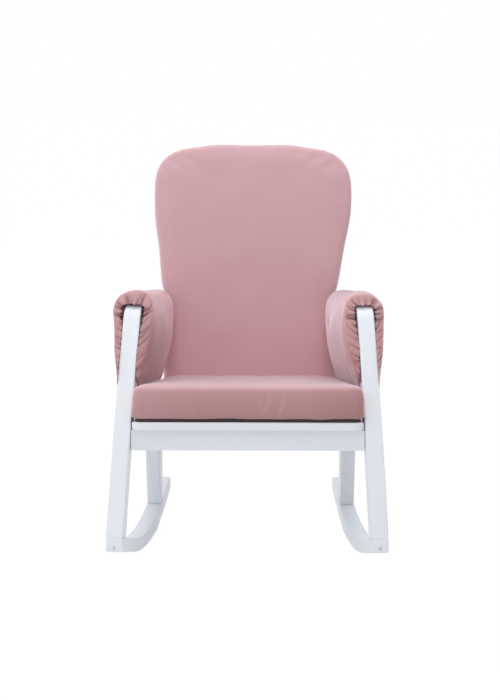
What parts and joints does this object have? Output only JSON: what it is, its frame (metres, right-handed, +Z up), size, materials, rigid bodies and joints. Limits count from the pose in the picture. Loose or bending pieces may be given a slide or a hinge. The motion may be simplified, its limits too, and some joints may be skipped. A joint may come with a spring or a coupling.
{
  "type": "upholstered rocking chair",
  "caption": "Nursery rocking chair with white timber side frames on curved runners, a tall curved velvet back, a loose seat cushion and padded arm covers.",
  "frame": {"origin": "the middle of the chair's bounding box, on the floor", "axes": "+X is the sitter's left, -Y the front of the chair, +Z up"},
  "size_m": [0.6724, 0.8748, 0.9943],
  "materials": {
    "white_paint": "satin white paint",
    "white_board": "satin white paint on plywood",
    "velvet": "dusty pink velvet",
    "grip_cloth": "dark non-slip cloth",
    "beech": "bare beech",
    "zinc": "zinc plated steel"
  },
  "bodies": {
    "chair_frame": {"leg_and_arm_left": "white_paint", "leg_and_arm_right": "white_paint", "runner_left": "white_paint", "runner_right": "white_paint", "rear_leg_left": "white_paint", "rear_leg_right": "white_paint", "side_rail_left": "white_paint", "side_rail_right": "white_paint", "seat_cleat_left": "white_paint", "seat_cleat_right": "white_paint", "seat_board": "white_board", "front_rail": "white_paint", "rear_rail": "white_paint", "back_support_rail": "white_paint", "arm_pad_left": "velvet", "arm_pad_right": "velvet", "back_cushion": "velvet", "back_rear_cover": "velvet", "back_stile_left": "beech", "back_stile_right": "beech", "back_rail_lower": "beech", "back_rail_middle": "beech", "back_rail_upper": "beech", "side_rail_dowel_front_left": "beech", "side_rail_dowel_front_right": "beech", "side_rail_dowel_rear_left": "beech", "side_rail_dowel_rear_right": "beech", "nose_screw_left": "zinc", "nose_screw_right": "zinc", "back_spacer_left": "zinc", "back_spacer_right": "zinc", "runner_bolt_front_left": "zinc", "runner_bolt_front_right": "zinc", "runner_bolt_rear_left": "zinc", "runner_bolt_rear_right": "zinc", "front_rail_bolt_left": "zinc", "front_rail_bolt_right": "zinc", "rear_rail_bolt_left": "zinc", "rear_rail_bolt_right": "zinc", "support_rail_bolt_left": "zinc", "support_rail_bolt_right": "zinc", "arm_bolt_left": "zinc", "arm_bolt_right": "zinc", "front_rail_nut_left": "zinc", "front_rail_nut_right": "zinc", "rear_rail_nut_left": "zinc", "rear_rail_nut_right": "zinc", "back_bolt_left": "zinc", "back_bolt_right": "zinc"},
    "loose_cushion": {"seat_cushion": "velvet", "seat_cushion_base": "grip_cloth"}
  },
  "joints": [
    {"name": "seat_cushion_slide", "type": "slide", "parent": "chair_frame", "child": "loose_cushion", "axis": [0, -0.9925, 0.1219], "range_m": [0, 0.62]}
  ]
}
